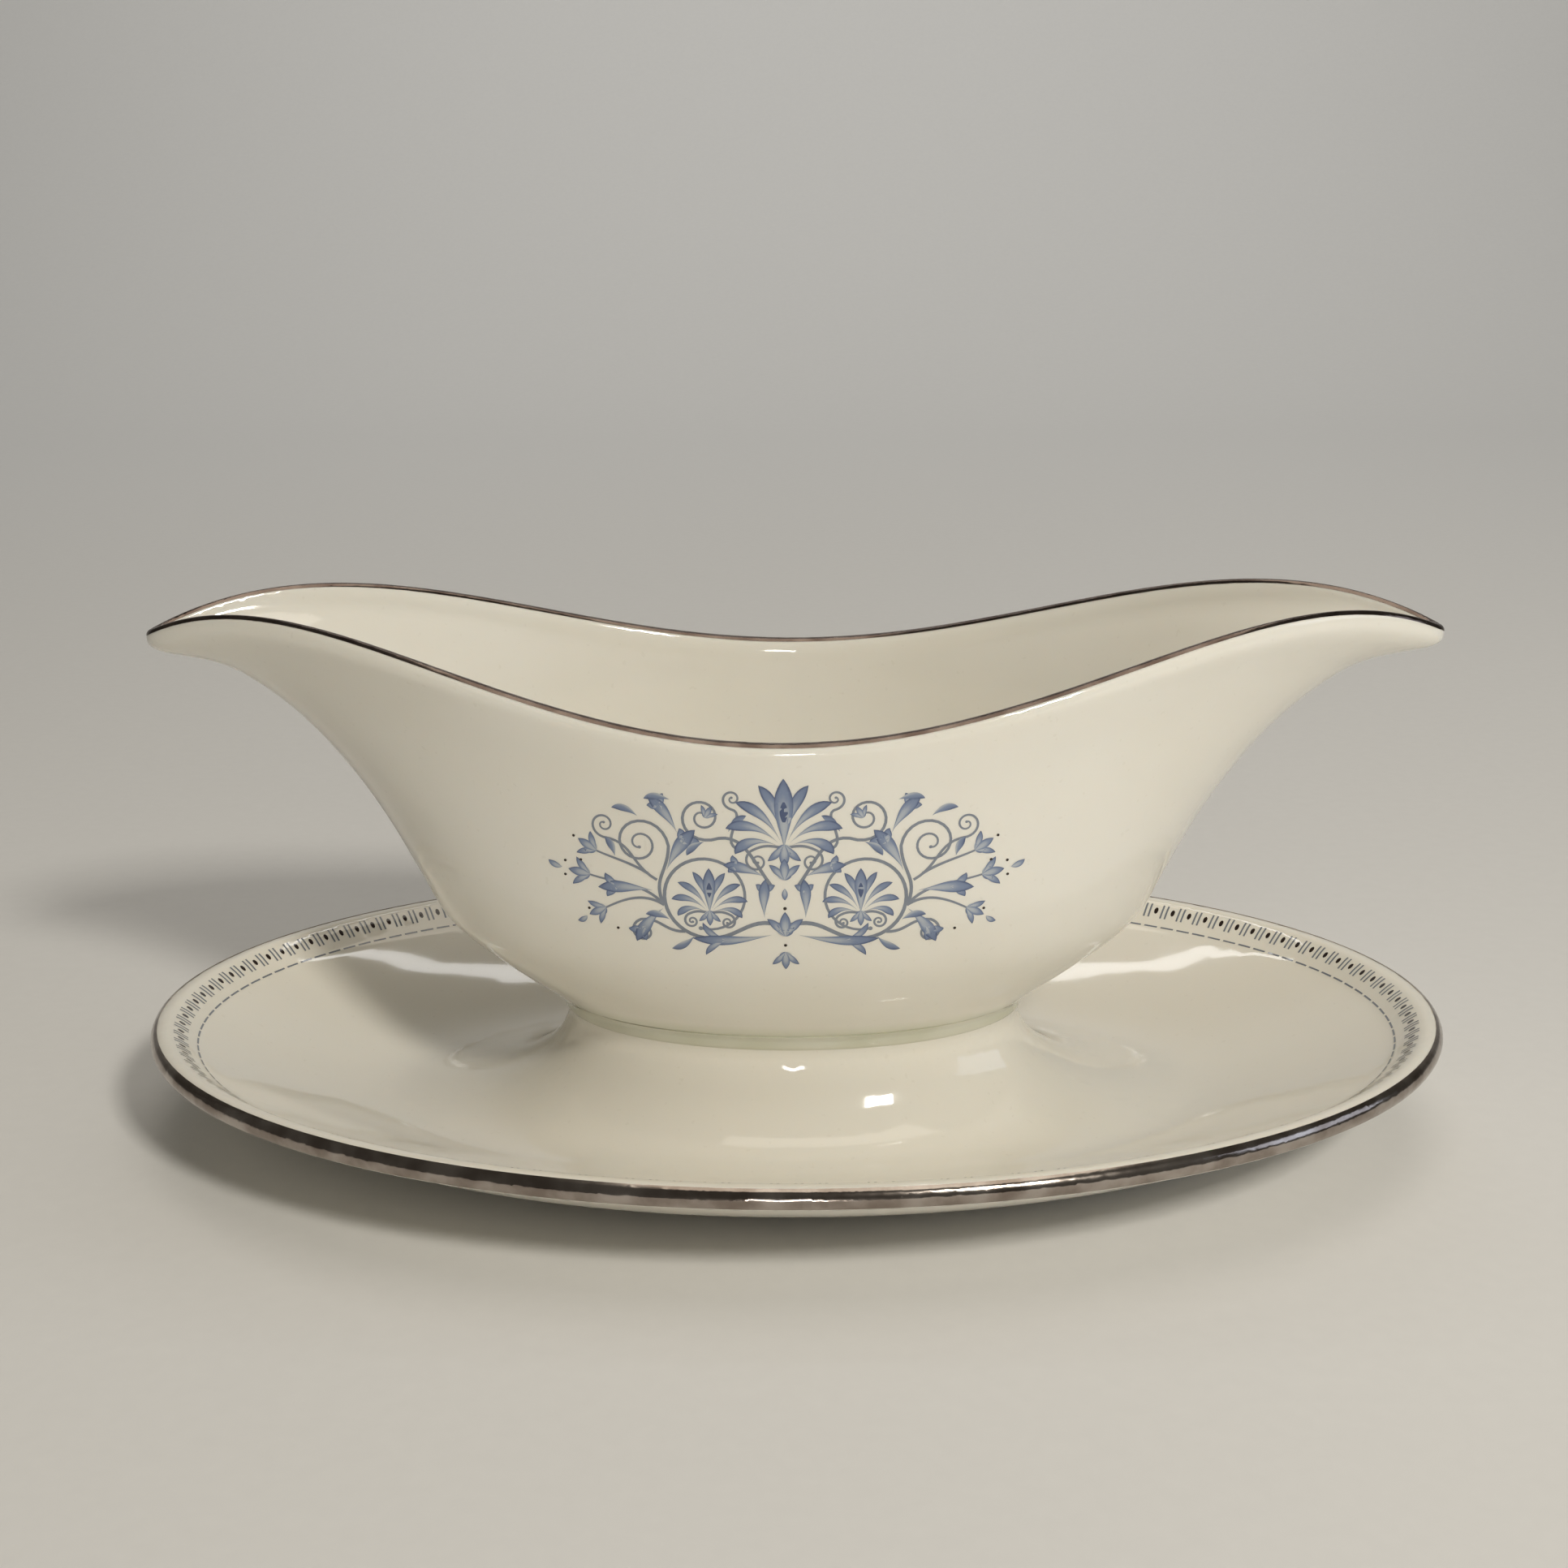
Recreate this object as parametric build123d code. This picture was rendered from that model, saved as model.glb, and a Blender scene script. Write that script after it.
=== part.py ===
from build123d import *
from math import cos, hypot, pi, sin
import os

# Double-lipped gravy boat luted to its own oval underplate. Millimetres, +Z up.
# Origin: middle of the foot ring, on the surface it stands on. +X runs to one pouring lip.

# Overall sizes.
boat_half_length = 109.5
boat_half_width = 41.5
plate_half_length = 112.4
plate_half_width = 75.6
rim_low_z = 77.2
rim_rise = 15.0

# Where the boat meets the pedestal of the underplate.
neck_half_length = 40.4
neck_half_width = 25.6
deck_z = 22.0
slip_thickness = 0.8
slip_width = 6.0
boat_foot_z = deck_z + slip_thickness

# Clay thicknesses.
boat_wall = 2.8
lip_roll = 1.4
lip_flare = 0.2
boat_floor = 4.2
deck_thickness = 4.0
plate_wall = 3.2

# Rim shape: height follows the square of the distance from the middle, as a share of the half length.
rim_peak_share = 0.64
rim_pinch = 0.60

# Oval well, rolled edge and foot ring of the underplate.
well_half_length = 70.4
well_half_width = 39.4
well_z = 4.7
plate_edge_z = 18.4
plate_edge_radius = 1.9
foot_half_length = 66.0
foot_half_width = 36.0
foot_width = 3.2
foot_height = 2.4

# Metal lines, glaze bead and transfers are thin films on the glaze.
metal_film = 0.10
transfer_film = 0.06
rim_line_drop = 0.45
band_width = 1.1
band_drop = 1.2
border_inner_gap = 9.4
border_outer_gap = 3.6
motif_half_length = 38.5
motif_half_height = 18.6
motif_z = 56.2

points_round = 40
samples_per_step = 2


def oval_wire(a, b, z_side, z_end, pinch, hump):
    """Closed level curve: z_side at the middle of the sides, z_end at the lips, hump between them."""
    points = []
    for i in range(points_round):
        angle = pi / 2 + 2 * pi * i / points_round
        share = cos(angle) ** 2
        x = a * cos(angle)
        y = b * sin(angle) * (1 - pinch * share)
        z = z_side + (z_end - z_side) * share + 4 * hump * share * (1 - share)
        points.append(Vector(x, y, z))
    knots = [i / points_round for i in range(points_round + 1)]
    return Wire([Edge.make_spline(points, periodic=True, parameters=knots)])


class Track:
    """Smooth run of level curves, each given as (a, b, z_side, z_end, pinch, hump)."""

    def __init__(self, stations):
        self.stations = stations
        knots = [0.0]
        for p, q in zip(stations, stations[1:]):
            knots.append(knots[-1] + hypot(*(s - r for r, s in zip(p[:4], q[:4]))))
        self.knots = [k / knots[-1] for k in knots]
        self.slopes = [self.slope(i) for i in range(len(stations))]

    def slope(self, i):
        """Rate of change at station i, from the parabola through it and its neighbours."""
        last = len(self.stations) - 1
        before, after = max(i - 1, 0), min(i + 1, last)
        rates = []
        for j in (before, after - 1):
            step = self.knots[j + 1] - self.knots[j]
            pair = zip(self.stations[j], self.stations[j + 1])
            rates.append([(q - p) / step for p, q in pair])
        if before == i or after == i:
            return rates[0] if before == i else rates[1]
        share = (self.knots[i] - self.knots[before]) / (self.knots[after] - self.knots[before])
        return [p * (1 - share) + q * share for p, q in zip(*rates)]

    def at(self, v):
        i = max(j for j in range(len(self.knots) - 1) if self.knots[j] <= v or j == 0)
        step = self.knots[i + 1] - self.knots[i]
        u = (v - self.knots[i]) / step
        hold, rise = 2 * u**3 - 3 * u**2 + 1, u**3 - 2 * u**2 + u
        values = []
        for p, q, dp, dq in zip(
            self.stations[i], self.stations[i + 1], self.slopes[i], self.slopes[i + 1]
        ):
            values.append(hold * p + (1 - hold) * q + step * (rise * dp + (u**3 - u**2) * dq))
        return values

    def moved(self, v, distance):
        """Level at v, moved square to the side and end profiles, positive away from the clay."""
        low = self.at(max(v - 1e-4, 0.0))
        high = self.at(min(v + 1e-4, 1.0))
        a, b, z_side, z_end, pinch, hump = self.at(v)
        da, dze = high[0] - low[0], high[3] - low[3]
        db, dzs = high[1] - low[1], high[2] - low[2]
        end, side = hypot(da, dze), hypot(db, dzs)
        a += distance * dze / end
        z_end -= distance * da / end
        b += distance * dzs / side
        z_side -= distance * db / side
        return a, b, z_side, z_end, pinch, hump

    def steps(self):
        """The stations and evenly spaced levels between them."""
        values = []
        for low, high in zip(self.knots, self.knots[1:]):
            for i in range(samples_per_step):
                values.append(low + (high - low) * i / samples_per_step)
        return values + [1.0]

    def solid(self, distance=0.0):
        """Closed solid between the flat first and last levels, swollen by distance elsewhere."""
        levels = [self.moved(v, distance) for v in self.steps()]
        for i in (0, -1):
            a, b, _, _, pinch, hump = levels[i]
            z = self.stations[i][2]
            levels[i] = (a, b, z, z, pinch, hump)
        return Solid.make_loft([oval_wire(*level) for level in levels])


def boat_track():
    """From the flat foot up the outside, over the rolled lip and down to the flat floor."""
    peak = rim_peak_share
    rim_end_z = rim_low_z + rim_rise * (2 / peak - 1 / peak**2)
    rim_hump = rim_rise / (4 * peak**2)
    length = boat_half_length
    width = boat_half_width
    foot = boat_foot_z
    outside = [
        (neck_half_length, neck_half_width, foot, foot, -0.03, 0),
        (length * 0.425, width * 0.715, foot + 4.6, foot + 4.6, -0.03, 0),
        (length * 0.500, width * 0.810, foot + 10.2, foot + 10.6, -0.03, 0),
        (length * 0.553, width * 0.875, foot + 15.6, foot + 16.0, -0.02, 0),
        (length * 0.583, width * 0.912, foot + 21.0, foot + 22.0, 0.0, 0.2),
        (length * 0.640, width * 0.942, foot + 30.0, foot + 33.4, 0.10, 0.9),
        (length * 0.712, width * 0.962, foot + 37.6, foot + 44.2, 0.23, 2.4),
        (length * 0.795, width * 0.977, foot + 43.6, foot + 53.0, 0.35, 4.4),
        (length * 0.880, width * 0.988, foot + 47.4, foot + 58.6, 0.45, 6.4),
        (length * 0.945, width * 0.995, foot + 50.2, foot + 60.1, 0.53, 8.0),
        (length * 0.980, width * 0.998, foot + 51.6, foot + 60.8, 0.57, 8.7),
        (length * 0.997, width * 0.9995, foot + 52.4, foot + 61.9, 0.59, 9.0),
    ]
    under_lip = (rim_low_z - lip_roll, rim_end_z - lip_roll - lip_flare)
    outer = Track(outside + [(length, width, *under_lip, rim_pinch, rim_hump)])
    inner_levels = [outer.moved(v, -boat_wall) for v in outer.knots[2:10]]
    floor_z = foot + boat_floor
    half = boat_wall / 2
    lip = []
    for i in range(5):
        turn = pi * i / 4
        lip.append(
            (
                length - half + half * cos(turn),
                width - half + half * cos(turn),
                rim_low_z - half + half * sin(turn),
                rim_end_z - half + half * sin(turn),
                rim_pinch,
                rim_hump,
            )
        )
    floor = [
        (neck_half_length + 3.0, neck_half_width + 1.6, floor_z + 3.0, floor_z + 3.0, -0.03, 0),
        (neck_half_length - 1.0, neck_half_width - 1.5, floor_z + 0.6, floor_z + 0.6, -0.02, 0),
        (neck_half_length - 6.0, neck_half_width - 6.0, floor_z, floor_z, 0, 0),
    ]
    return Track(outside + lip + inner_levels[::-1] + floor)


def plate_track():
    """From the deck's ceiling out along the underside, over the rolled edge and up to the deck."""
    neck_a, neck_b = neck_half_length, neck_half_width
    well_a, well_b = well_half_length, well_half_width
    edge_a = plate_half_length - plate_edge_radius
    edge_b = plate_half_width - plate_edge_radius
    rise = plate_edge_z - well_z
    span_a, span_b = edge_a - well_a, edge_b - well_b
    neck = [
        (neck_a, neck_b, deck_z, deck_z, -0.03, 0),
        (neck_a - 0.7, neck_b - 0.6, deck_z - 2.4, deck_z - 2.4, -0.03, 0),
        (neck_a + 0.2, neck_b + 0.1, deck_z - 5.6, deck_z - 5.6, -0.02, 0),
        (neck_a + 3.0, neck_b + 1.8, deck_z - 9.4, deck_z - 9.4, -0.02, 0),
        (neck_a + 8.4, neck_b + 4.4, deck_z - 13.0, deck_z - 13.0, -0.01, 0),
        (neck_a + 16.4, neck_b + 7.8, well_z + 1.4, well_z + 1.4, 0, 0),
        (well_a - 6.0, well_b - 3.0, well_z + 0.2, well_z + 0.2, 0, 0),
    ]
    flange = [(well_a, well_b, well_z, well_z, 0, 0)]
    for share, lift in ((0.16, 0.08), (0.38, 0.28), (0.62, 0.55), (0.86, 0.89)):
        z = well_z + rise * lift
        flange.append((well_a + span_a * share, well_b + span_b * share, z, z, 0, 0))
    edge = []
    for i in range(5):
        turn = pi * (0.60 - 0.30 * i)
        reach = plate_edge_radius * cos(turn)
        z = plate_edge_z + plate_edge_radius * sin(turn)
        edge.append((edge_a + reach, edge_b + reach, z, z, 0, 0))
    top = Track(neck + flange + edge)
    under = [top.moved(v, plate_wall) for v in top.knots[2:11]]
    deck_under = deck_z - deck_thickness
    inside_a, inside_b = neck_a - plate_wall, neck_b - plate_wall
    ceiling = [
        (inside_a - 5.0, inside_b - 5.0, deck_under, deck_under, 0, 0),
        (inside_a - 1.6, inside_b - 1.6, deck_under - 0.5, deck_under - 0.5, -0.01, 0),
    ]
    return Track(ceiling + under + (neck + flange + edge)[::-1])


def oval_prism(a, b, z_low, z_high, pinch=-0.03):
    return Solid.make_loft([oval_wire(a, b, z, z, pinch, 0) for z in (z_low, z_high)], ruled=True)


def oval_ring(a, b, width, z_low, z_high, pinch=-0.03):
    outer = oval_prism(a, b, z_low, z_high, pinch)
    return outer - oval_prism(a - width, b - width, z_low - 1, z_high + 1, pinch)


def foot_ring():
    ring = oval_ring(foot_half_length, foot_half_width, foot_width, 0, foot_height, 0)
    return fillet(ring.edges().group_by(Axis.Z)[0], foot_width * 0.22)


def luting_slip_ring():
    a = neck_half_length - 0.8
    b = neck_half_width - 0.8
    return oval_ring(a, b, slip_width, deck_z, boat_foot_z)


def seam_glaze_bead(boat, plate, slip):
    """Glaze pooled in the waist between the boat and the pedestal."""
    levels = []
    for lift, reach in ((-1.2, -0.55), (-0.3, 0.05), (0.4, 0.25), (1.1, 0.65), (1.9, 1.3)):
        z = deck_z + lift
        levels.append(oval_wire(neck_half_length + reach, neck_half_width + reach, z, z, -0.03, 0))
    core = oval_prism(neck_half_length - 1.2, neck_half_width - 1.2, deck_z - 4, deck_z + 5)
    return Solid.make_loft(levels) - boat - plate - slip - core


def above_rim(drop):
    """Everything higher than the lip's crest less drop, along the whole boat."""
    reach = boat_half_length + 3
    crest_length = boat_half_length - boat_wall / 2
    line = []
    for i in range(-12, 13):
        share = (reach * i / 12 / crest_length) ** 2 / rim_peak_share
        line.append((reach * i / 12, rim_low_z + rim_rise * (2 * share - share**2) - drop))
    top = rim_low_z + rim_rise * 2
    curve = Edge.make_spline([Vector(x, -boat_half_width * 2, z) for x, z in line])
    corners = [curve @ 1, (reach, -boat_half_width * 2, top), (-reach, -boat_half_width * 2, top)]
    sides = Polyline(*corners, curve @ 0)
    face = Face(Wire([curve, *sides.edges()]))
    return Solid.extrude(face, Vector(0, boat_half_width * 4, 0))


def quarter(shape):
    """The share of a symmetrical shape with positive X and Y."""
    reach = plate_half_length * 2
    return shape & Solid.make_box(reach, reach, reach)


def whole(part):
    """A symmetrical shape from its quarter."""
    half = part + part.mirror(Plane.YZ)
    return half + half.mirror(Plane.XZ)


def boat_rim_line(boat):
    """Metal line over the crest of the lip."""
    swollen = quarter(boat_track().solid(metal_film))
    return whole(swollen & above_rim(rim_line_drop) - quarter(boat))


def plate_rim_band(plate):
    """Metal band round the outside of the rolled edge of the underplate."""
    a, b = plate_half_length, plate_half_width
    zone = oval_ring(a + 1, b + 1, 1 + band_width, plate_edge_z - band_drop, plate_edge_z + 4, 0)
    swollen = quarter(plate_track().solid(metal_film))
    return whole(swollen & quarter(zone) - quarter(plate))


def border_transfer(plate):
    """Printed film round the flange; its ornament is surface colour only."""
    a, b = plate_half_length - border_outer_gap, plate_half_width - border_outer_gap
    width = border_inner_gap - border_outer_gap
    zone = oval_ring(a, b, width, well_z, plate_edge_z + 4, 0)
    swollen = quarter(plate_track().solid(transfer_film))
    film = swollen & quarter(zone) - quarter(plate)
    return whole(film.solids().sort_by(Axis.Z)[-1])


def floral_transfer(boat):
    """Printed film on the -Y wall of the boat; its ornament is surface colour only."""
    reach = boat_half_width * 2
    near = Solid.make_box(reach * 4, reach, reach * 2).moved(Location((-reach * 2, -reach, 0)))
    outline = Plane((0, 0, motif_z), (1, 0, 0), (0, -1, 0)) * Ellipse(motif_half_length, motif_half_height)
    zone = Solid.extrude(outline.face(), Vector(0, -reach, 0))
    film = boat_track().solid(transfer_film) & near & zone - (boat & near)
    return film.solids().sort_by(Axis.Y)[0]


os.makedirs("parts", exist_ok=True)
boat_bowl = boat_track().solid()
plate_body = plate_track().solid()
slip_ring = luting_slip_ring()
front_transfer = floral_transfer(boat_bowl)
nodes = {
    "boat_bowl": boat_bowl,
    "underplate": plate_body + foot_ring(),
    "luting_slip_ring": slip_ring,
    "seam_glaze_bead": seam_glaze_bead(boat_bowl, plate_body, slip_ring),
    "boat_rim_line": boat_rim_line(boat_bowl),
    "plate_rim_band": plate_rim_band(plate_body),
    "border_transfer": border_transfer(plate_body),
    "floral_transfer_front": front_transfer,
    "floral_transfer_back": front_transfer.mirror(Plane.XZ),
}
for name, shape in nodes.items():
    export_step(shape, f"parts/{name}.step")
    print(name, len(shape.solids()), round(shape.volume, 1))
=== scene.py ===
from math import atan2, cos, degrees, hypot, log, pi, radians, sin

import bmesh
import bpy
from mathutils import Matrix, Vector
from mathutils.bvhtree import BVHTree


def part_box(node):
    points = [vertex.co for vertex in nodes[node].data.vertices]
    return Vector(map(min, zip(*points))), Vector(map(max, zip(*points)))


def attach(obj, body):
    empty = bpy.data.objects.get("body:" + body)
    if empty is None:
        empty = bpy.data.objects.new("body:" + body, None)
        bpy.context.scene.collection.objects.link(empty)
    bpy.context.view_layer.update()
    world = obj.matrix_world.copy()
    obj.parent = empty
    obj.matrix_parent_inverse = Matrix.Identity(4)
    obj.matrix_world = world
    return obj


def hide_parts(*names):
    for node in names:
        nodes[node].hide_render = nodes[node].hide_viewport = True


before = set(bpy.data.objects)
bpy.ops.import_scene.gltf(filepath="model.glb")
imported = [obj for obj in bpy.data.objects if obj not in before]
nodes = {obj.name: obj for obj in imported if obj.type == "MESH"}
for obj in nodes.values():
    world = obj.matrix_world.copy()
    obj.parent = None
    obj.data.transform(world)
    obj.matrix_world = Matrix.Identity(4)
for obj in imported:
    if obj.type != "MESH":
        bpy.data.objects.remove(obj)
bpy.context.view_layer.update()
MM = 0.001

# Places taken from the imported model, in millimetres.
plate_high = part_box("underplate")[1] / MM
motif_low, motif_high = (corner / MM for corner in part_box("floral_transfer_front"))
plate_a = plate_high.x
plate_b = plate_high.y
motif_z = (motif_low.z + motif_high.z) / 2
seam_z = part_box("boat_bowl")[0].z / MM

# Printed ornament, in millimetres.
print_lift = 0.02
print_top = 0.06
border_inset = 5.0
border_pitch = 3.5
dot_length = 1.1
dot_width = 0.80
bar_length = 2.3
bar_width = 0.36
bar_gap = 0.95
dash_inset = 2.7
dash_length = 2.75
dash_width = 0.28
strip_parts = 6

# Rays that find the surface under a print start this far from the axes, in metres.
ray_start = 0.2


# ---------------------------------------------------------------- materials
def linear(code):
    """sRGB hex to linear colour."""
    values = [int(code[i : i + 2], 16) / 255 for i in (1, 3, 5)]
    return [v / 12.92 if v <= 0.04045 else ((v + 0.055) / 1.055) ** 2.4 for v in values] + [1.0]


def add(tree, kind, inputs=(), out=0, **settings):
    """Adds a shader node, sets it, links the inputs that are sockets and gives one of its outputs."""
    made = tree.nodes.new("ShaderNode" + kind)
    for key, value in settings.items():
        setattr(made, key, value)
    for key, value in dict(inputs).items():
        if isinstance(value, bpy.types.NodeSocket):
            tree.links.new(value, made.inputs[key])
        else:
            made.inputs[key].default_value = value
    return made.outputs[out] if made.outputs else made


def new_material(name):
    """An empty material and its node tree."""
    material = bpy.data.materials.new(name)
    material.use_nodes = True
    material.node_tree.nodes.clear()
    return material, material.node_tree


SMOOTH = {"interpolation_type": "SMOOTHSTEP"}
COLOUR = {"data_type": "RGBA", "out": 2}


def glazed_china(name, body, pooled, pool_low, pool_high, bare_below=None):
    """Ivory bone china, slip cast and dipped in clear glaze: a soft warm body under a sharp wet gloss.

    The glaze runs thick and faintly green between two heights, and the foot is left bare below a third."""
    material, tree = new_material(name)
    place = add(tree, "TexCoord", out="Object")
    height = add(tree, "SeparateXYZ", {"Vector": place}, "Z")

    # Clouds about 40 mm across in the body, and iron specks about 1 mm apart.
    cloud = add(tree, "TexNoise", {"Vector": place, "Scale": 26.0, "Detail": 3.0})
    haze = add(tree, "MapRange", {"Value": cloud, "From Min": 0.3, "From Max": 0.75}, **SMOOTH)
    colour = add(tree, "Mix", {0: haze, 6: linear(body), 7: linear("#e6e2d6")}, **COLOUR)
    speck = add(tree, "TexNoise", {"Vector": place, "Scale": 900.0, "Detail": 1.0})
    limits = {"From Min": 0.70, "From Max": 0.78, "To Max": 0.10}
    speck = add(tree, "MapRange", {"Value": speck, **limits}, **SMOOTH)
    colour = add(tree, "Mix", {0: speck, 6: colour, 7: linear("#b9b09a")}, **COLOUR)

    # Thick glaze, strongest midway between the two heights.
    middle = (pool_low + pool_high) / 2 * MM
    limits = {"From Min": pool_low * MM, "From Max": middle}
    rising = add(tree, "MapRange", {"Value": height, **limits}, **SMOOTH)
    limits = {"From Min": pool_high * MM, "From Max": middle}
    falling = add(tree, "MapRange", {"Value": height, **limits}, **SMOOTH)
    pool = add(tree, "Math", {0: rising, 1: falling}, operation="MULTIPLY")
    pool = add(tree, "Math", {0: pool, 1: 0.55}, operation="MULTIPLY")
    colour = add(tree, "Mix", {0: pool, 6: colour, 7: linear(pooled)}, **COLOUR)

    roughness = add(tree, "MapRange", {"Value": cloud, "To Min": 0.045, "To Max": 0.085})
    if bare_below is not None:
        edges = {"From Min": bare_below * MM, "From Max": bare_below * MM * 0.6}
        bare = add(tree, "MapRange", {"Value": height, **edges}, **SMOOTH)
        colour = add(tree, "Mix", {0: bare, 6: colour, 7: linear("#d9d2c4")}, **COLOUR)
        rough = add(tree, "Math", {0: bare, 1: 0.75}, operation="MULTIPLY")
        roughness = add(tree, "Math", {0: roughness, 1: rough}, operation="MAXIMUM")

    # Orange peel 7 mm across and slower waves left by the mould, in metres of height.
    peel = add(tree, "TexNoise", {"Vector": place, "Scale": 140.0, "Detail": 2.0})
    fine = add(tree, "Math", {0: peel, 1: 0.000004}, operation="MULTIPLY")
    wave = add(tree, "TexNoise", {"Vector": place, "Scale": 22.0, "Detail": 1.0})
    broad = add(tree, "Math", {0: wave, 1: 0.00005}, operation="MULTIPLY")
    relief = add(tree, "Math", {0: fine, 1: broad}, operation="ADD")
    normal = add(tree, "Bump", {"Height": relief, "Strength": 1.0, "Distance": 1.0})
    shader = add(
        tree,
        "BsdfPrincipled",
        {
            "Base Color": colour,
            "Roughness": roughness,
            "IOR": 1.52,
            "Subsurface Weight": 0.18,
            "Subsurface Radius": (0.004, 0.0032, 0.0024),
            "Subsurface Scale": 0.5,
            "Coat Weight": 0.35,
            "Coat Roughness": 0.02,
            "Coat IOR": 1.5,
            "Normal": normal,
            "Coat Normal": normal,
        },
    )
    add(tree, "OutputMaterial", {"Surface": shader})
    return material


def pooled_glaze():
    """Clear glaze gathered in the joint: glassy, a little greener than the china beside it."""
    material, tree = new_material("pooled_clear_glaze")
    place = add(tree, "TexCoord", out="Object")
    cloud = add(tree, "TexNoise", {"Vector": place, "Scale": 60.0, "Detail": 2.0})
    haze = add(tree, "MapRange", {"Value": cloud, "From Min": 0.35, "From Max": 0.7}, **SMOOTH)
    colour = add(tree, "Mix", {0: haze, 6: linear("#cfcdb4"), 7: linear("#dcd9c6")}, **COLOUR)
    relief = add(tree, "Math", {0: cloud, 1: 0.0001}, operation="MULTIPLY")
    normal = add(tree, "Bump", {"Height": relief, "Strength": 1.0, "Distance": 1.0})
    gloss = {"Roughness": 0.04, "IOR": 1.52, "Subsurface Weight": 0.1, "Coat Weight": 0.5}
    shader = add(tree, "BsdfPrincipled", {"Base Color": colour, **gloss, "Normal": normal})
    add(tree, "OutputMaterial", {"Surface": shader})
    return material


def fired_slip():
    """Clay slip fired without glaze: chalky, with a fine brushed grain."""
    material, tree = new_material("fired_china_slip")
    place = add(tree, "TexCoord", out="Object")
    grain = add(tree, "TexNoise", {"Vector": place, "Scale": 700.0, "Detail": 4.0})
    colour = add(tree, "Mix", {0: grain, 6: linear("#d6cfbf"), 7: linear("#e3decf")}, **COLOUR)
    relief = add(tree, "Math", {0: grain, 1: 0.00004}, operation="MULTIPLY")
    normal = add(tree, "Bump", {"Height": relief, "Strength": 1.0, "Distance": 1.0})
    inputs = {"Base Color": colour, "Roughness": 0.8, "IOR": 1.5, "Normal": normal}
    shader = add(tree, "BsdfPrincipled", inputs)
    add(tree, "OutputMaterial", {"Surface": shader})
    return material


def fired_platinum(name, dark, bright, wear):
    """Liquid platinum brushed on by hand and fired: a brownish mirror darkened as painted dark reflection,
    faint streaks, worn specks.
    """
    material, tree = new_material(name)
    place = add(tree, "TexCoord", out="Object")
    streak = add(tree, "TexNoise", {"Vector": place, "Scale": 180.0, "Detail": 4.0})
    tone = add(tree, "MapRange", {"Value": streak, "From Min": 0.3, "From Max": 0.7}, **SMOOTH)
    colour = add(tree, "Mix", {0: tone, 6: linear(dark), 7: linear(bright)}, **COLOUR)
    worn = add(tree, "TexNoise", {"Vector": place, "Scale": 420.0, "Detail": 5.0})
    limits = {"From Min": 0.74, "From Max": 0.80, "To Max": wear}
    worn = add(tree, "MapRange", {"Value": worn, **limits}, **SMOOTH)
    colour = add(tree, "Mix", {0: worn, 6: colour, 7: linear("#e0dccf")}, **COLOUR)
    metal = add(tree, "Math", {0: 1.0, 1: worn}, operation="SUBTRACT")
    roughness = add(tree, "MapRange", {"Value": streak, "To Min": 0.08, "To Max": 0.20})
    relief = add(tree, "Math", {0: streak, 1: 0.00002}, operation="MULTIPLY")
    normal = add(tree, "Bump", {"Height": relief, "Strength": 1.0, "Distance": 1.0})
    inputs = {"Base Color": colour, "Metallic": metal, "Roughness": roughness, "Normal": normal}
    shader = add(tree, "BsdfPrincipled", inputs)
    add(tree, "OutputMaterial", {"Surface": shader})
    return material


def printed_ink(name):
    """Ceramic transfer ink sunk into the glaze: matt blue-grey washes seen under the same gloss.

    The amounts of blue, grey and black come from the colour at each corner of the print."""
    material, tree = new_material(name)
    place = add(tree, "TexCoord", out="Object")
    ink = add(tree, "Attribute", attribute_name="ink")
    blue = add(tree, "SeparateXYZ", {"Vector": ink}, "X")
    grey = add(tree, "SeparateXYZ", {"Vector": ink}, "Y")
    black = add(tree, "SeparateXYZ", {"Vector": ink}, "Z")

    # The wash is uneven over about a millimetre.
    wash = add(tree, "TexNoise", {"Vector": place, "Scale": 900.0, "Detail": 3.0})
    wash = add(tree, "MapRange", {"Value": wash, "To Min": 0.80, "To Max": 1.15})
    blue = add(tree, "Math", {0: blue, 1: wash}, operation="MULTIPLY")
    grey = add(tree, "Math", {0: grey, 1: wash}, operation="MULTIPLY")
    pale = add(tree, "MapRange", {"Value": blue, "From Max": 0.45}, **SMOOTH)
    deep = add(tree, "MapRange", {"Value": blue, "From Min": 0.40}, **SMOOTH)
    colour = add(tree, "Mix", {0: pale, 6: linear("#bfc4c7"), 7: linear("#7988a4")}, **COLOUR)
    colour = add(tree, "Mix", {0: deep, 6: colour, 7: linear("#3f4f76")}, **COLOUR)
    colour = add(tree, "Mix", {0: grey, 6: colour, 7: linear("#70767f")}, **COLOUR)
    colour = add(tree, "Mix", {0: black, 6: colour, 7: linear("#2b211c")}, **COLOUR)
    gloss = {"Roughness": 0.07, "IOR": 1.52, "Coat Weight": 0.3, "Coat Roughness": 0.02}
    shader = add(tree, "BsdfPrincipled", {"Base Color": colour, **gloss})
    add(tree, "OutputMaterial", {"Surface": shader})
    return material


# ---------------------------------------------------------------- printed shapes
# Each ink gives its amounts of blue, grey and black: along runs from 0 to 1, across from -1 to 1.
def stem_ink(along, across):
    return (0.25, 0.75, 0.0)


def black_ink(along, across):
    return (0.0, 0.0, 1.0)


def grey_ink(along, across):
    return (0.1, 0.85, 0.15)


def petal_ink(along, across):
    """Pale heart, darker edges and a dark tip."""
    amount = 0.10 + 0.50 * abs(across) ** 3 + 0.70 * along**3
    return (min(amount, 1.0), 0.08, 0.0)


def deep_ink(along, across):
    return (0.95, 0.1, 0.0)


def leaf_ink(along, across):
    """Dark along one edge and pale along the other."""
    amount = 0.30 + 0.34 * across + 0.45 * along**2
    return (min(max(amount, 0.08), 1.0), 0.12, 0.0)


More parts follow.
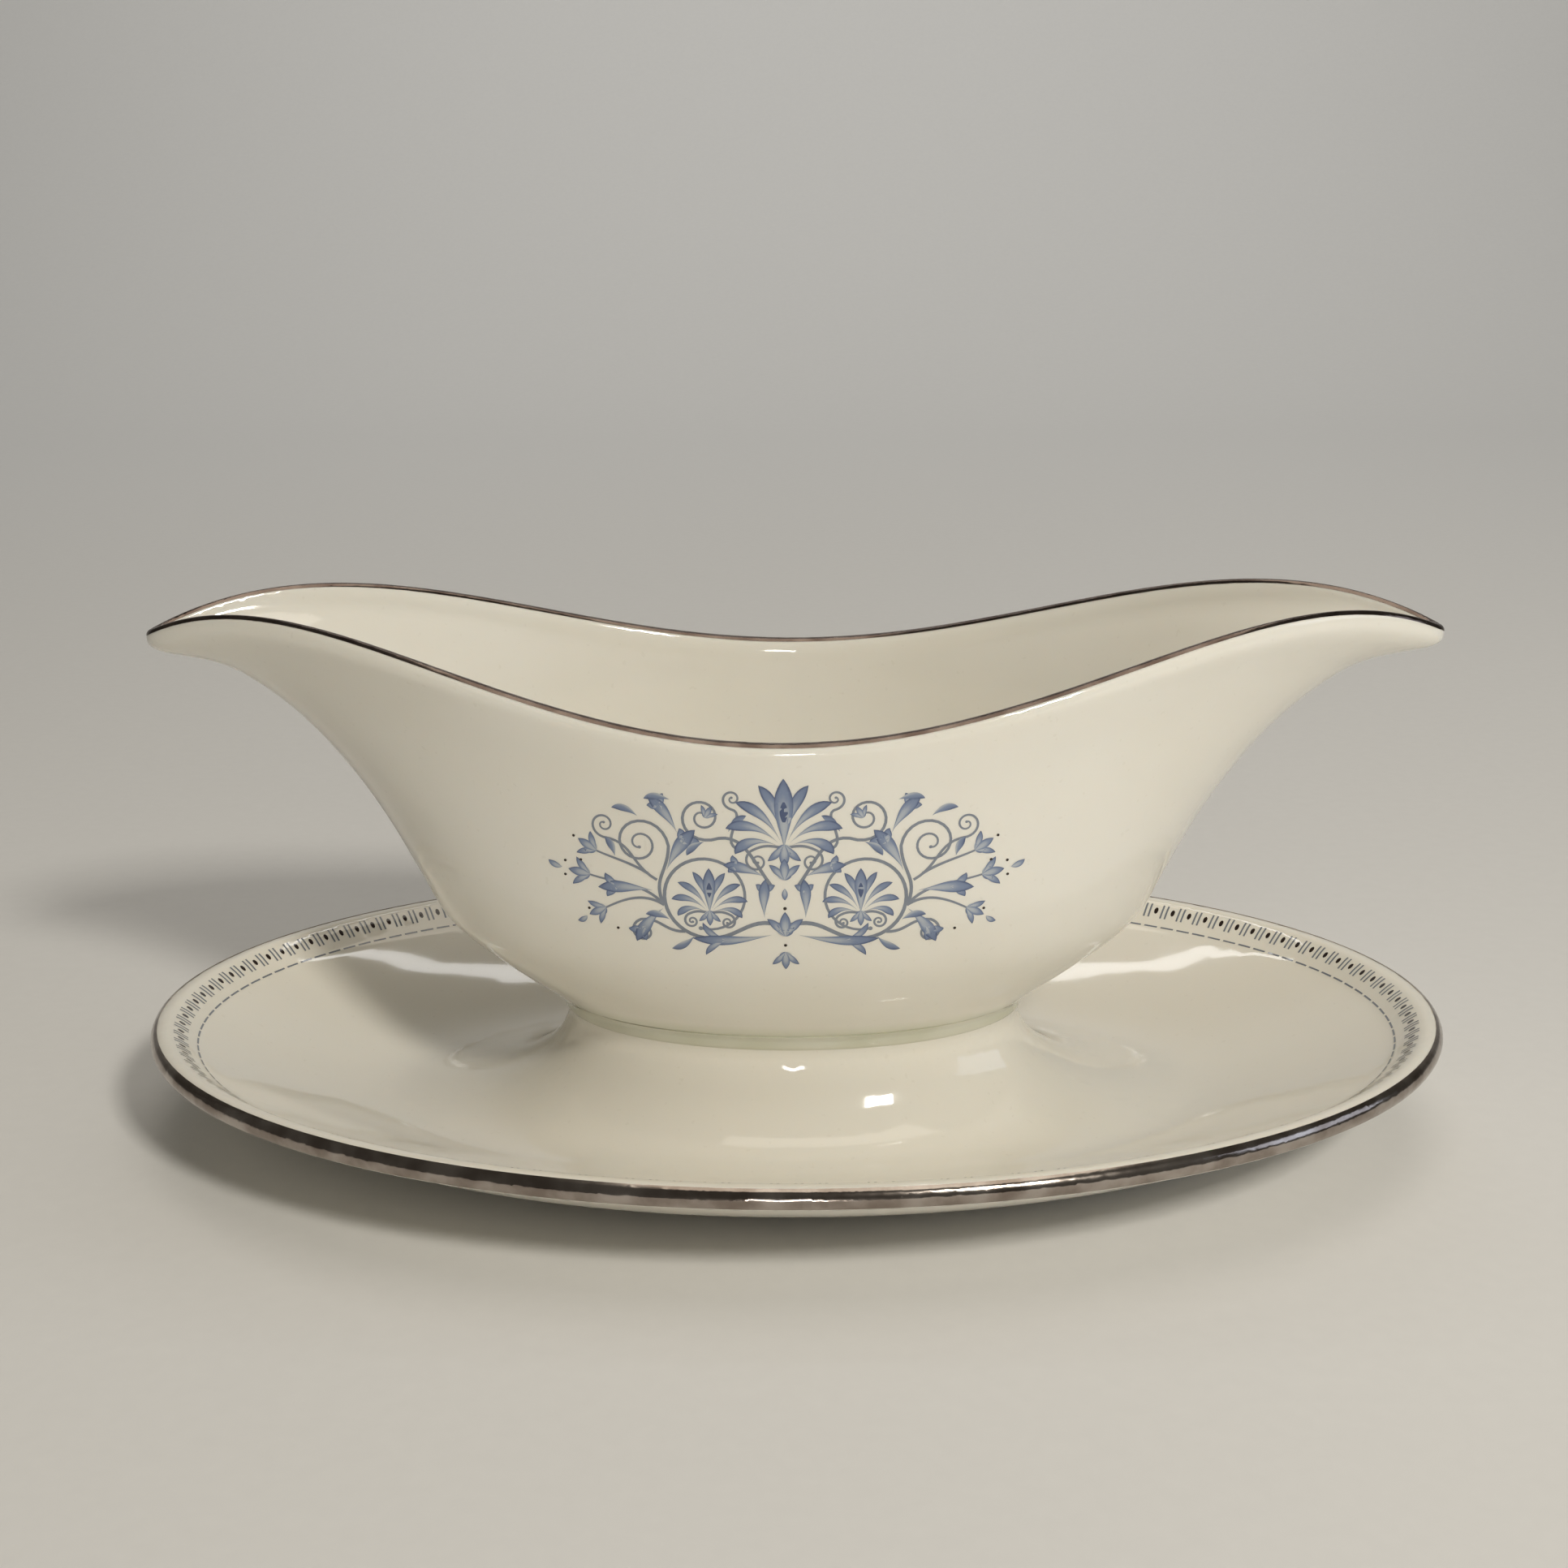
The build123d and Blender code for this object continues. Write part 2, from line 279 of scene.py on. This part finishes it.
def bezier(start, first, second, end, steps=14):
    """Points along a cubic curve."""
    line = []
    for i in range(steps + 1):
        t = i / steps
        u = 1 - t
        line.append(u**3 * start + 3 * u * u * t * first + 3 * u * t * t * second + t**3 * end)
    return line


def arc(start, angle, turn, length, tighten=1.0, steps=16):
    """A curve that starts at an angle and turns more and more, or evenly where tighten is 1."""
    line = [start]
    for i in range(steps):
        share = (i + 0.5) / steps
        line.append(line[-1] + heading(angle + turn * share**tighten, length / steps))
    return line


def pointed(width, fullest=0.5):
    """Widths of a blade with two points, widest at a share of its length."""
    power = log(0.5) / log(fullest)
    return lambda s: width * sin(pi * s**power) ** 0.9 + 0.02


def heading(angle, length=1.0):
    """Vector at an angle in degrees, measured from straight up towards +X."""
    return Vector((sin(radians(angle)), cos(radians(angle)))) * length


class Print:
    """Flat printed shapes as small quads, with the amounts of ink at each corner."""

    def __init__(self):
        self.points = []
        self.inks = []
        self.layers = []
        self.faces = []

    def ribbon(self, line, widths, ink, across=4):
        """A strip along line; widths gives the full width for each share of its length."""
        first = len(self.points)
        layer = self.layers[-1] + 1 if self.layers else 0
        last = len(line) - 1
        for i, point in enumerate(line):
            step = line[min(i + 1, last)] - line[max(i - 1, 0)]
            side = Vector((step.y, -step.x)).normalized()
            for j in range(across + 1):
                offset = 2 * j / across - 1
                self.points.append(point + side * offset * widths(i / last) / 2)
                self.inks.append(ink(i / last, offset))
                self.layers.append(layer)
        row = across + 1
        for i in range(last):
            for j in range(across):
                corner = first + i * row + j
                self.faces.append((corner, corner + 1, corner + row + 1, corner + row))

    def dot(self, centre, length, width, angle=0.0, ink=black_ink):
        """An oval spot."""
        along = heading(angle, length / 2)
        line = [centre + along * (i / 4 - 1) for i in range(9)]
        self.ribbon(line, lambda s: width * max(1 - (2 * s - 1) ** 2, 0.0) ** 0.5, ink, 2)

    def petal(self, root, tip, bend, width, ink=petal_ink, fullest=0.5):
        """A pointed blade from root to tip, bowed sideways by bend."""
        span = tip - root
        side = Vector((span.y, -span.x)).normalized() * bend
        line = bezier(root, root + span * 0.35 + side, root + span * 0.7 + side, tip)
        self.ribbon(line, pointed(width, fullest), ink)

    def curled(self, root, angle, turn, length, width, ink=petal_ink, fullest=0.6, tighten=1.4):
        """A blade that bends over towards its tip."""
        self.ribbon(arc(root, angle, turn, length, tighten), pointed(width, fullest), ink)

    def horned(self, root, angle, turn, length, width):
        """A leaf that flares into three horns, the middle one the longest."""
        line = arc(root, angle, turn, length, 1.2)
        fork = 9
        start, aim = line[fork], angle + turn * 0.5
        for lean, reach in ((-58, 0.40), (50, 0.36)):
            self.curled(start, aim + lean * 0.3, lean, length * reach, width * 0.62, petal_ink, 0.6)
        self.ribbon(line, pointed(width, 0.66), petal_ink)

    def stem(self, start, first, second, end, thick=0.5, thin=0.32):
        """A stalk that thins towards its end."""
        line = bezier(start, first, second, end, 20)
        self.ribbon(line, lambda s: thick + (thin - thick) * s, stem_ink, 2)

    def scroll(self, root, angle, centre, radius, start, turns, thick=0.55, shrink=0.86):
        """A stem that leaves root at an angle and winds into a spiral round centre."""
        first = centre + heading(start, radius)
        tangent = heading(start + (90 if turns > 0 else -90))
        gap = (first - root).length * 0.45
        line = bezier(root, root + heading(angle, gap), first - tangent * gap, first, 12)
        windings = 40
        for i in range(1, windings + 1):
            share = i / windings
            reach = radius * (1 - shrink * share**0.8)
            line.append(centre + heading(start + 360 * turns * share, reach))
        self.ribbon(line, lambda s: thick * (1 - 0.45 * s), stem_ink, 2)
        self.dot(line[-1], thick, thick, 0, stem_ink)

    def tulip(self, root, angle, size):
        """A small bud of three petals on a calyx."""
        for sign in (-1, 1):
            self.curled(root, angle + sign * 42, -sign * 34, size * 0.62, size * 0.26, leaf_ink, 0.45)
            self.curled(root, angle + sign * 34, sign * 22, size * 0.98, size * 0.30, petal_ink, 0.55)
        self.petal(root, root + heading(angle, size), 0.0, size * 0.40, petal_ink)

    def palmette(self, root, angle, size):
        """A fan of petals over a bud, with a volute on each side."""
        for sign in (-1, 1):
            for lean, turn, reach in ((8, 34, 0.86), (26, 52, 0.84), (46, 70, 0.78), (68, 88, 0.64)):
                aim = angle + sign * lean
                start = root + heading(aim, size * 0.12)
                self.curled(start, aim, sign * turn, size * reach, size * 0.15, petal_ink, 0.72)
            hub = root + heading(angle + sign * 118, size * 0.42)
            self.scroll(root, angle + sign * 80, hub, size * 0.17, angle + sign * 30, sign * 1.5, 0.45)
        self.petal(root, root + heading(angle, size), 0.0, size * 0.26, petal_ink, 0.6)
        base = root + heading(angle, size * 0.34)
        self.petal(base, base + heading(angle, size * 0.34), 0.0, size * 0.11, deep_ink)
        self.tulip(root + heading(angle, size * 0.05), angle + 180, size * 0.34)

    def mirrored(self):
        """Adds every shape so far again on the other side of x = 0."""
        count = len(self.points)
        self.points += [Vector((-point.x, point.y)) for point in self.points]
        self.inks += self.inks
        self.layers += self.layers
        self.faces += [tuple(corner + count for corner in reversed(face)) for face in self.faces]

    def join(self, other):
        """Adds another print's shapes on top of these."""
        count = len(self.points)
        above = self.layers[-1] + 1
        self.points += other.points
        self.inks += other.inks
        self.layers += [layer + above for layer in other.layers]
        self.faces += [tuple(corner + count for corner in face) for face in other.faces]

    def laid(self, name, place, material, slot):
        """Lays the shapes on a surface, later ones a hair higher; place gives each point its spot."""
        mesh = bpy.data.meshes.new(name)
        top = max(self.layers)
        spots = []
        for point, layer in zip(self.points, self.layers):
            lift = print_lift + (print_top - print_lift) * layer / top
            spots.append(place(point, lift * MM))
        mesh.from_pydata(spots, [], self.faces)
        mesh.shade_smooth()
        colours = mesh.color_attributes.new("ink", "FLOAT_COLOR", "POINT")
        for i, ink in enumerate(self.inks):
            colours.data[i].color = (*ink, 1.0)
        mesh.materials.append(material)
        piece = bpy.data.objects.new(name, mesh)
        bpy.context.scene.collection.objects.link(piece)
        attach(piece, "root")
        return piece


def surface_of(node):
    """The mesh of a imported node, ready for rays."""
    mesh = nodes[node].data
    corners = [vertex.co.copy() for vertex in mesh.vertices]
    return BVHTree.FromPolygons(corners, [tuple(face.vertices) for face in mesh.polygons])


def floral_half():
    """The half of the ornament on the +X side, about the middle of the transfer."""
    half = Print()

    def at(x, z):
        return Vector((x, z))

    half.scroll(at(0.9, -8.6), 74, at(12.2, -4.0), 7.2, 176, -1.02, 0.7, 0.22)
    half.palmette(at(11.8, -6.8), 0, 7.6)
    half.scroll(at(19.2, -5.4), 20, at(22.6, 4.4), 4.6, 268, 1.75)
    half.scroll(at(2.2, -1.8), 34, at(12.6, 9.2), 3.9, 200, -1.7)
    half.scroll(at(7.4, 4.2), 60, at(7.9, 12.4), 1.7, 170, -1.4, 0.45)
    half.scroll(at(20.0, -1.6), 62, at(28.2, 7.2), 2.2, 176, -1.5, 0.45)
    half.scroll(at(15.8, -10.2), 96, at(22.4, -10.6), 2.1, 10, 1.5, 0.5)
    half.stem(at(19.0, -5.8), at(22.0, -2.2), at(26.0, -2.8), at(30.8, -1.6))
    half.stem(at(19.0, -5.8), at(22.4, -3.6), at(26.0, -5.6), at(28.4, -7.0))
    half.stem(at(21.4, -0.6), at(24.0, 1.0), at(27.0, 1.6), at(29.6, 2.6))
    half.horned(at(3.2, -7.4), 4, -14, 6.6, 1.7)
    half.horned(at(3.2, -0.4), 62, 26, 6.6, 1.8)
    half.horned(at(2.2, -10.4), 104, -22, 12.6, 1.7)
    half.horned(at(18.4, 0.2), 338, -26, 8.4, 2.2)
    half.horned(at(20.8, -3.4), 84, 16, 8.8, 2.0)
    half.horned(at(19.2, -6.4), 132, 26, 7.6, 2.0)
    half.horned(at(16.6, 6.6), 24, 30, 7.4, 1.9)
    for x, z, angle, turn, size in (
        (14.4, -11.0, 140, -40, 4.4),
        (18.2, -8.2, 60, 50, 4.0),
        (8.6, 7.0, 330, -40, 4.0),
        (17.6, 12.0, 70, 50, 4.2),
        (22.8, 9.0, 50, 60, 4.4),
        (26.6, 2.0, 10, 40, 3.4),
        (12.4, 5.2, 110, 50, 3.8),
    ):
        half.curled(at(x, z), angle, turn, size, 1.15, leaf_ink)
    for x, z, angle, size in ((30.8, -1.6, 80, 3.6), (28.4, -7.0, 118, 3.2), (29.6, 2.6, 58, 3.4)):
        half.tulip(at(x, z), angle, size)
    half.tulip(at(12.2, 9.2), 330, 2.2)
    half.petal(at(35.4, -0.8), at(37.6, 0.2), 0.3, 1.0)
    half.petal(at(31.6, -8.8), at(33.2, -9.8), 0.3, 0.9)
    for x, z in ((34.8, 0.4), (34.9, -2.0), (33.2, 4.8), (31.2, -7.4), (26.6, -10.4), (32.2, 0.8)):
        half.dot(at(x, z), 0.46, 0.46)
    return half


def floral():
    """The whole ornament, alike on both sides."""
    whole = floral_half()
    whole.mirrored()
    axis = Print()
    axis.palmette(Vector((0, 4.4)), 0, 11.4)
    axis.tulip(Vector((0, -1.0)), 0, 3.6)
    axis.petal(Vector((0, -2.4)), Vector((0, -4.4)), 0, 0.9)
    axis.dot(Vector((0, -5.8)), 0.55, 0.55)
    axis.tulip(Vector((0, -10.6)), 0, 4.2)
    axis.dot(Vector((0, -12.2)), 0.5, 0.5)
    axis.tulip(Vector((0, -13.4)), 180, 3.2)
    whole.join(axis)
    return whole


def lay_floral(name, side, material, slot):
    """Lays the ornament on a wall of the boat; side is -1 for the near wall and 1 for the far one."""
    bowl = surface_of("boat_bowl")

    def place(point, lift):
        origin = Vector((-side * point.x * MM, side * ray_start, (motif_z + point.y) * MM))
        spot, normal, _, _ = bowl.ray_cast(origin, Vector((0, -side, 0)))
        return spot + normal * lift

    return floral().laid(name, place, material, slot)


def border():
    """Dots, paired bars and a dashed line, evenly spaced by length round the oval."""
    a, b = plate_a - border_inset, plate_b - border_inset
    steps = 3600
    lengths = [0.0]
    for i in range(steps):
        t = 2 * pi * (i + 0.5) / steps
        lengths.append(lengths[-1] + hypot(a * sin(t), b * cos(t)) * 2 * pi / steps)
    count = round(lengths[-1] / border_pitch)
    pitch = lengths[-1] / count

    def spot(distance, inward):
        """A point at a distance round the oval and so far in from it."""
        distance %= lengths[-1]
        low, high = 0, steps
        while high - low > 1:
            middle = (low + high) // 2
            if lengths[middle] <= distance:
                low = middle
            else:
                high = middle
        share = (distance - lengths[low]) / (lengths[high] - lengths[low])
        t = 2 * pi * (low + share) / steps
        normal = Vector((b * cos(t), a * sin(t))).normalized()
        return Vector((a * cos(t), b * sin(t))) - normal * inward

    made = Print()
    along = [k / strip_parts - 0.5 for k in range(strip_parts + 1)]
    for i in range(count):
        here = i * pitch
        outward = spot(here, 0) - spot(here, 1)
        made.dot(spot(here, 0), dot_length, dot_width, degrees(atan2(outward.x, outward.y)))
        for shift in (-bar_gap / 2, bar_gap / 2):
            middle = here + pitch / 2 + shift
            line = [spot(middle, bar_length * share) for share in along]
            made.ribbon(line, lambda s: bar_width, grey_ink, 1)
        line = [spot(here + dash_length * share, dash_inset) for share in along]
        made.ribbon(line, lambda s: dash_width, grey_ink, 1)
    return made


def lay_border(material):
    """Lays the border on the flange of the underplate."""
    plate = surface_of("underplate")

    def place(point, lift):
        origin = Vector((point.x * MM, point.y * MM, ray_start))
        spot, normal, _, _ = plate.ray_cast(origin, Vector((0, 0, -1)))
        return spot + normal * lift

    return border().laid("border_print", place, material, "border_print")


# ---------------------------------------------------------------- the object
def dress(node, material):
    """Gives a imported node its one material."""
    mesh = nodes[node].data
    mesh.materials.clear()
    mesh.materials.append(material)


boat_china = glazed_china("glazed_bone_china_boat", "#e9e6dc", "#cfd0b8", seam_z - 1.0, seam_z + 4.0)
plate_china = glazed_china("glazed_bone_china_plate", "#e8e3d6", "#cfceb6", seam_z - 2.4, seam_z + 0.6, 0.9)
dress("boat_bowl", boat_china)
dress("underplate", plate_china)
dress("luting_slip_ring", fired_slip())
dress("seam_glaze_bead", pooled_glaze())
# The same platinum: the boat's line is given darker colours than the plate band, and both are darker than
# the bare metal. This is painted dark reflection of the room.
dress("boat_rim_line", fired_platinum("fired_platinum_boat_painted_dark_reflection", "#5f514a", "#82756d", 0.35))
dress("plate_rim_band", fired_platinum("fired_platinum_plate", "#8b7f76", "#b5aca4", 0.25))

front_print = lay_floral("floral_print_near", -1, printed_ink("transfer_ink_near"), "floral_print_front")
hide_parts("floral_transfer_front")
back_print = lay_floral("floral_print_far", 1, printed_ink("transfer_ink_far"), "floral_print_back")
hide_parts("floral_transfer_back")
border_piece = lay_border(printed_ink("transfer_ink_border"))
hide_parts("border_transfer")


# ---------------------------------------------------------------- floor, light and camera
def floor():
    """A sheet of paper that lies under the object and curves up behind it."""
    half_width, front, bend, radius, rise = 8.0, -9.0, 1.1, 0.9, 3.0
    bend_parts = 24
    bend_step = radius * pi / 2 / bend_parts
    bm = bmesh.new()
    ends = [bm.verts.new((side * half_width, front, 0)) for side in (-1, 1)]
    edge = bm.edges.new(ends)
    steps = [Vector((0, bend - front, 0))]
    for i in range(bend_parts):
        turn = pi / 2 * (i + 0.5) / bend_parts
        steps.append(Vector((0, cos(turn), sin(turn))) * bend_step)
    steps.append(Vector((0, 0, rise)))
    for step in steps:
        grown = bmesh.ops.extrude_edge_only(bm, edges=[edge])["geom"]
        verts = [v for v in grown if isinstance(v, bmesh.types.BMVert)]
        bmesh.ops.translate(bm, vec=step, verts=verts)
        edge = next(e for e in grown if isinstance(e, bmesh.types.BMEdge))
    bmesh.ops.recalc_face_normals(bm, faces=bm.faces)
    mesh = bpy.data.meshes.new("floor")
    bm.to_mesh(mesh)
    bm.free()
    mesh.shade_smooth()
    material, tree = new_material("matt_backdrop_paper")
    place = add(tree, "TexCoord", out="Object")
    grain = add(tree, "TexNoise", {"Vector": place, "Scale": 300.0})
    colour = add(tree, "Mix", {0: grain, 6: linear("#dddcd9"), 7: linear("#e1e0dd")}, **COLOUR)
    shader = add(tree, "BsdfPrincipled", {"Base Color": colour, "Roughness": 0.9, "IOR": 1.4})
    add(tree, "OutputMaterial", {"Surface": shader})
    mesh.materials.append(material)
    piece = bpy.data.objects.new("floor", mesh)
    bpy.context.scene.collection.objects.link(piece)


def area_light(name, place, target, width, height, power, colour):
    """A soft lamp at a place, turned to a target; width and height in metres, power in watts."""
    data = bpy.data.lights.new(name, "AREA")
    data.shape = "RECTANGLE"
    data.size = width
    data.size_y = height
    data.energy = power
    data.color = linear(colour)[:3]
    lamp = bpy.data.objects.new(name, data)
    lamp.location = place
    aim = Vector(target) - Vector(place)
    lamp.rotation_euler = aim.to_track_quat("-Z", "Y").to_euler()
    bpy.context.scene.collection.objects.link(lamp)


def light():
    """A dim warm room, lamps above, in front and at the right, and one that lights the backdrop."""
    bpy.context.scene.view_settings.view_transform = "Standard"
    world = bpy.data.worlds.new("studio")
    world.use_nodes = True
    background = world.node_tree.nodes["Background"]
    background.inputs["Color"].default_value = linear("#e2ddd2")
    background.inputs["Strength"].default_value = 0.12
    bpy.context.scene.world = world
    centre = (0, 0, 0.05)
    area_light("overhead", (0.10, 0.0, 1.1), centre, 0.9, 0.7, 2.8, "#fff6e8")
    area_light("key", (0.46, -0.84, 0.74), centre, 0.16, 0.16, 7.8, "#fffaf0")
    area_light("right_fill", (1.45, -0.25, 0.50), centre, 0.9, 0.5, 1.8, "#dce8ff")
    area_light("front_lamp", (0.0, -1.6, 0.12), centre, 0.16, 0.18, 2.3, "#fffdf8")
    area_light("backdrop", (0.0, 0.9, 1.6), (0, 1.9, 0.8), 1.6, 0.5, 11.0, "#ffffff")


def camera():
    """Stands a little right of the middle and looks down at the object from the front."""
    stand = (0.0098, -0.3514, 0.157)
    yaw, pitch, roll = radians(-1.79), radians(15.46), radians(0.57)
    forward = Vector((cos(pitch) * sin(yaw), cos(pitch) * cos(yaw), -sin(pitch)))
    level = Vector((cos(yaw), -sin(yaw), 0))
    down = forward.cross(level)
    right = level * cos(roll) + down * sin(roll)
    up = level * sin(roll) - down * cos(roll)
    data = bpy.data.cameras.new("camera")
    data.sensor_width = 36.0
    data.lens = 48.63
    data.clip_start = 0.01
    made = bpy.data.objects.new("camera", data)
    turn = Matrix((right, up, -forward)).transposed()
    made.matrix_world = Matrix.Translation(stand) @ turn.to_4x4()
    bpy.context.scene.collection.objects.link(made)
    bpy.context.scene.camera = made


floor()
light()
camera()
